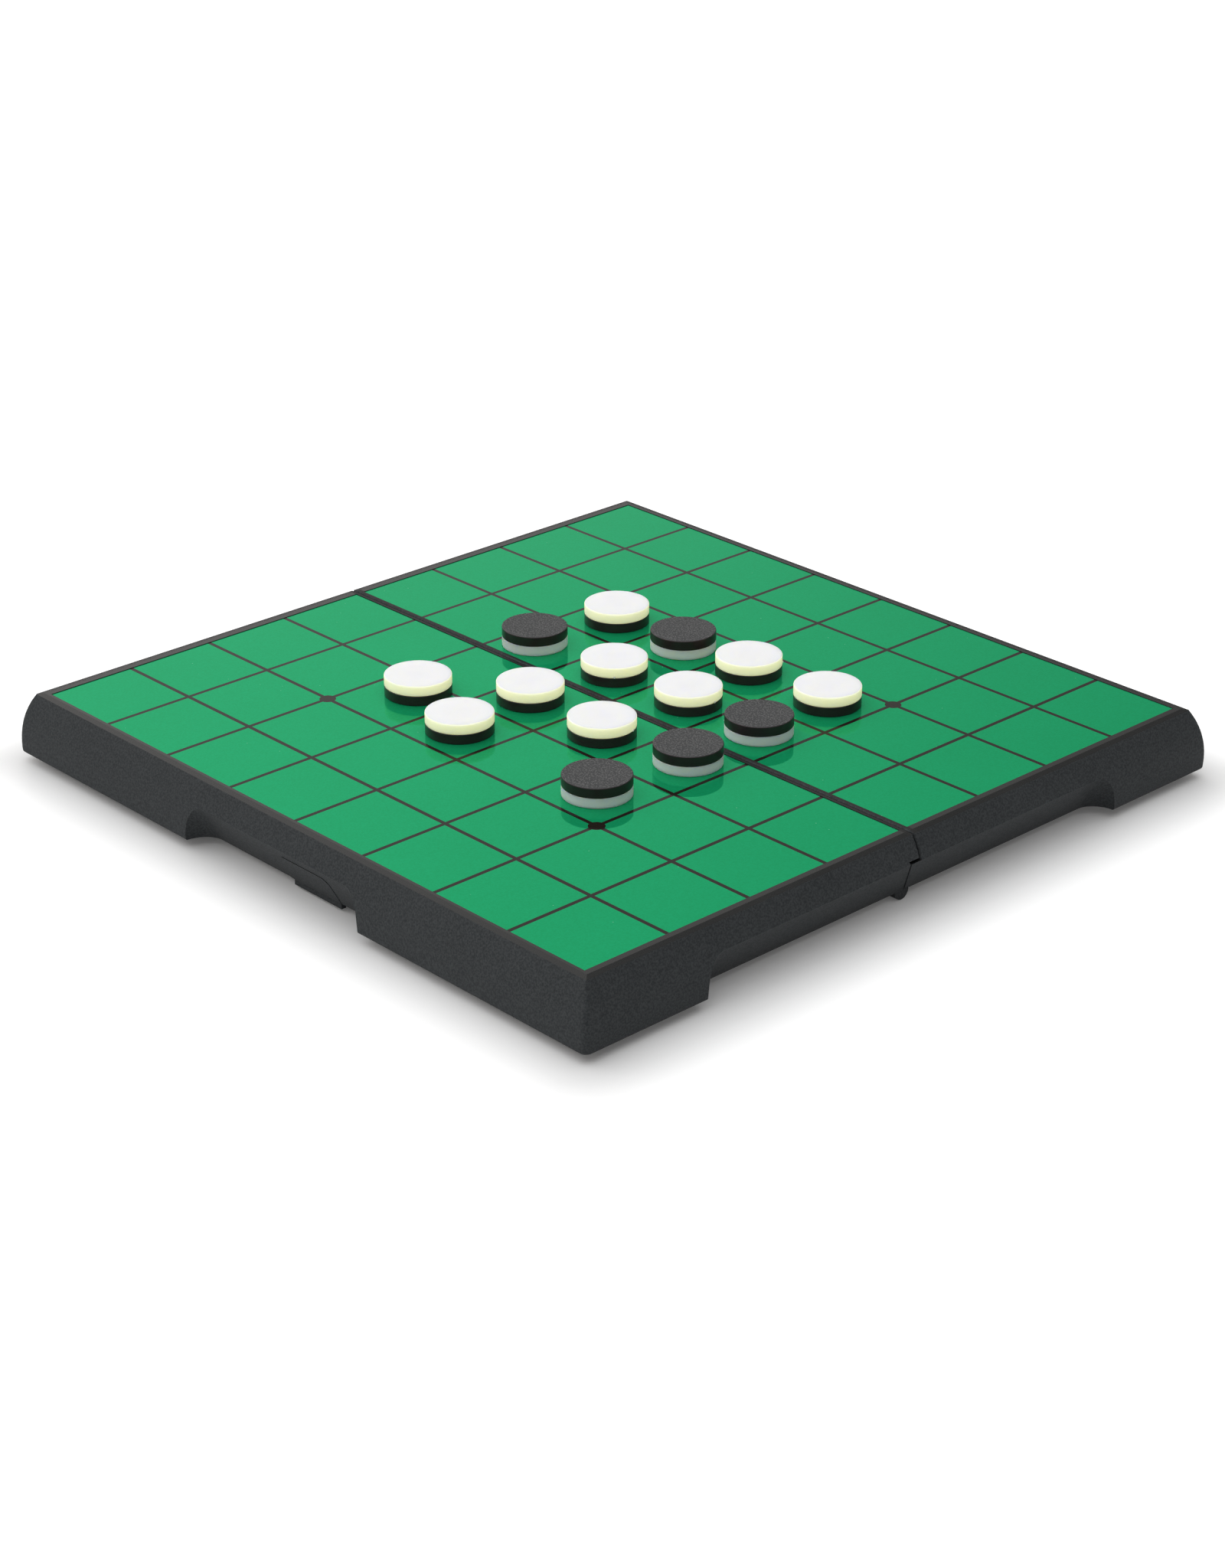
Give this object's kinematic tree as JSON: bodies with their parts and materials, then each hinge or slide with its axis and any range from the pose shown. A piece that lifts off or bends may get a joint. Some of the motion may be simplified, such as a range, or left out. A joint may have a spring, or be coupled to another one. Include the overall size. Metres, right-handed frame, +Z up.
{
  "type": "reversi board game",
  "caption": "Folding reversi board whose two hollow halves fold under into a case, opened flat with magnetic two-coloured discs in play on its green gridded field.",
  "frame": {"origin": "on the table, under the middle of the board", "axes": "+Z up, +Y along the fold, +X across the fold towards the half that swings"},
  "size_m": [0.2526, 0.252, 0.028],
  "materials": {
    "tray_plastic": "satin dark grey moulded plastic with a fine texture",
    "plate_steel": "plain steel sheet",
    "field_film": "glossy green printed film",
    "field_print": "glossy black print in the film",
    "pin_steel": "bright drawn wire",
    "disc_white": "white moulded plastic with a soft shine",
    "disc_black": "black moulded plastic with a fine matte face",
    "magnet": "dark sintered ferrite"
  },
  "bodies": {
    "left_half": {"left_tray": "tray_plastic", "left_steel_plate": "plate_steel", "left_green_film": "field_film", "left_grid_print": "field_print", "hinge_pin_back": "pin_steel", "hinge_pin_front": "pin_steel", "disc_06_white_half": "disc_white", "disc_06_black_half": "disc_black", "disc_06_magnet": "magnet", "disc_07_white_half": "disc_white", "disc_07_black_half": "disc_black", "disc_07_magnet": "magnet", "disc_10_white_half": "disc_white", "disc_10_black_half": "disc_black", "disc_10_magnet": "magnet", "disc_11_white_half": "disc_white", "disc_11_black_half": "disc_black", "disc_11_magnet": "magnet", "disc_13_white_half": "disc_white", "disc_13_black_half": "disc_black", "disc_13_magnet": "magnet", "disc_14_white_half": "disc_white", "disc_14_black_half": "disc_black", "disc_14_magnet": "magnet"},
    "right_half": {"right_tray": "tray_plastic", "right_steel_plate": "plate_steel", "right_green_film": "field_film", "right_grid_print": "field_print", "disc_01_white_half": "disc_white", "disc_01_black_half": "disc_black", "disc_01_magnet": "magnet", "disc_02_white_half": "disc_white", "disc_02_black_half": "disc_black", "disc_02_magnet": "magnet", "disc_03_white_half": "disc_white", "disc_03_black_half": "disc_black", "disc_03_magnet": "magnet", "disc_04_white_half": "disc_white", "disc_04_black_half": "disc_black", "disc_04_magnet": "magnet", "disc_05_white_half": "disc_white", "disc_05_black_half": "disc_black", "disc_05_magnet": "magnet", "disc_08_white_half": "disc_white", "disc_08_black_half": "disc_black", "disc_08_magnet": "magnet", "disc_09_white_half": "disc_white", "disc_09_black_half": "disc_black", "disc_09_magnet": "magnet", "disc_12_white_half": "disc_white", "disc_12_black_half": "disc_black", "disc_12_magnet": "magnet"}
  },
  "joints": [
    {"name": "fold", "type": "hinge", "parent": "left_half", "child": "right_half", "pos_m": [0, 0, 0.003], "axis": [0, 1, 0], "range_deg": [0, 180]}
  ]
}
